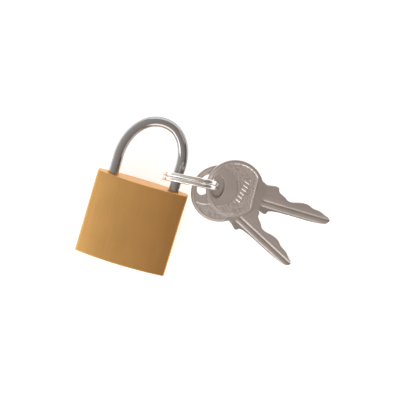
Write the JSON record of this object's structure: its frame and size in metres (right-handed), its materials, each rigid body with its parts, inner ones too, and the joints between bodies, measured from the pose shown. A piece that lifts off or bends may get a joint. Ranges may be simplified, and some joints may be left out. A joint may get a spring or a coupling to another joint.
{
  "type": "padlock",
  "caption": "Solid brass pin-tumbler padlock with a chromed steel shackle, lying on its back with a split ring and flat keys on the shackle.",
  "frame": {"origin": "middle of the flat on the back of the case, which the lock lies on", "axes": "+X across the case to the right, +Y from the keyway end to the shackle, +Z out of the front face"},
  "size_m": [0.102, 0.0657, 0.0256],
  "materials": {
    "case_brass": "satin drawn brass",
    "plug_brass": "turned brass",
    "shackle_chrome": "bright chrome plate",
    "ring_nickel": "bright nickel plate",
    "key_nickel": "worn nickel plate on brass",
    "pin_brass": "turned brass",
    "spring_steel": "drawn spring wire",
    "hard_steel": "ground steel"
  },
  "bodies": {
    "case": {"lock_body": "case_brass", "plug_retaining_pin": "hard_steel", "shackle_retaining_pin": "hard_steel", "bolt_bore_plug": "case_brass", "bolt_spring": "spring_steel", "shackle_spring": "spring_steel", "chamber_cap_1": "case_brass", "chamber_cap_2": "case_brass", "chamber_cap_3": "case_brass", "chamber_cap_4": "case_brass", "pin_spring_1": "spring_steel", "pin_spring_2": "spring_steel", "pin_spring_3": "spring_steel", "pin_spring_4": "spring_steel"},
    "plug": {"cylinder_plug": "plug_brass", "plug_cam_pin": "hard_steel"},
    "bolt": {"locking_bolt": "hard_steel"},
    "shackle": {"shackle": "shackle_chrome", "heel_spring_cap": "pin_brass"},
    "ring": {"split_ring": "ring_nickel"},
    "front_key": {"front_key": "key_nickel"},
    "back_key": {"back_key": "key_nickel"},
    "key_pin_1": {"key_pin_1": "pin_brass"},
    "driver_pin_1": {"driver_pin_1": "pin_brass"},
    "key_pin_2": {"key_pin_2": "pin_brass"},
    "driver_pin_2": {"driver_pin_2": "pin_brass"},
    "key_pin_3": {"key_pin_3": "pin_brass"},
    "driver_pin_3": {"driver_pin_3": "pin_brass"},
    "key_pin_4": {"key_pin_4": "pin_brass"},
    "driver_pin_4": {"driver_pin_4": "pin_brass"}
  },
  "joints": [
    {"name": "plug_turn", "type": "hinge", "parent": "case", "child": "plug", "pos_m": [0, -0.01805, 0.007], "axis": [0, 1, 0], "range_deg": [0, 90]},
    {"name": "bolt_slide", "type": "slide", "parent": "case", "child": "bolt", "axis": [1, 0, 0], "range_m": [0, 0.0015], "deforming": ["bolt_spring"]},
    {"name": "shackle_lift", "type": "slide", "parent": "case", "child": "shackle", "axis": [0, 1, 0], "range_m": [0, 0.012], "deforming": ["shackle_spring"]},
    {"name": "ring_swing", "type": "hinge", "parent": "shackle", "child": "ring", "pos_m": [0.0134, 0.02565, 0.007], "axis": [0, -1, 0], "range_deg": [0, 90]},
    {"name": "front_key_fan", "type": "hinge", "parent": "ring", "child": "front_key", "pos_m": [0.03103, 0.02565, 0.00733], "axis": [0.1149, -0.0016, 0.9934], "range_deg": [-12, 25]},
    {"name": "back_key_fan", "type": "hinge", "parent": "ring", "child": "back_key", "pos_m": [0.02579, 0.02442, 0.00349], "axis": [0.0421, -0.0212, 0.9989], "range_deg": [-12, 6]},
    {"name": "key_pin_1_drop", "type": "slide", "parent": "plug", "child": "key_pin_1", "axis": [0, 0, 1], "range_m": [-0.0006, 0]},
    {"name": "key_pin_2_drop", "type": "slide", "parent": "plug", "child": "key_pin_2", "axis": [0, 0, 1], "range_m": [-0.00165, 0]},
    {"name": "key_pin_3_drop", "type": "slide", "parent": "plug", "child": "key_pin_3", "axis": [0, 0, 1], "range_m": [-0.00145, 0]},
    {"name": "key_pin_4_drop", "type": "slide", "parent": "plug", "child": "key_pin_4", "axis": [0, 0, 1], "range_m": [-0.0004, 0]},
    {"name": "driver_pin_1_lift", "type": "slide", "parent": "case", "child": "driver_pin_1", "axis": [1, 0, 0], "range_m": [0, 0.001], "deforming": ["pin_spring_1"]},
    {"name": "driver_pin_2_lift", "type": "slide", "parent": "case", "child": "driver_pin_2", "axis": [1, 0, 0], "range_m": [0, 0.001], "deforming": ["pin_spring_2"]},
    {"name": "driver_pin_3_lift", "type": "slide", "parent": "case", "child": "driver_pin_3", "axis": [1, 0, 0], "range_m": [0, 0.001], "deforming": ["pin_spring_3"]},
    {"name": "driver_pin_4_lift", "type": "slide", "parent": "case", "child": "driver_pin_4", "axis": [1, 0, 0], "range_m": [0, 0.001], "deforming": ["pin_spring_4"]}
  ],
  "couplings": [
    {"joint": "bolt_slide", "follows": "plug_turn", "m_per_rad": 0.000954}
  ]
}
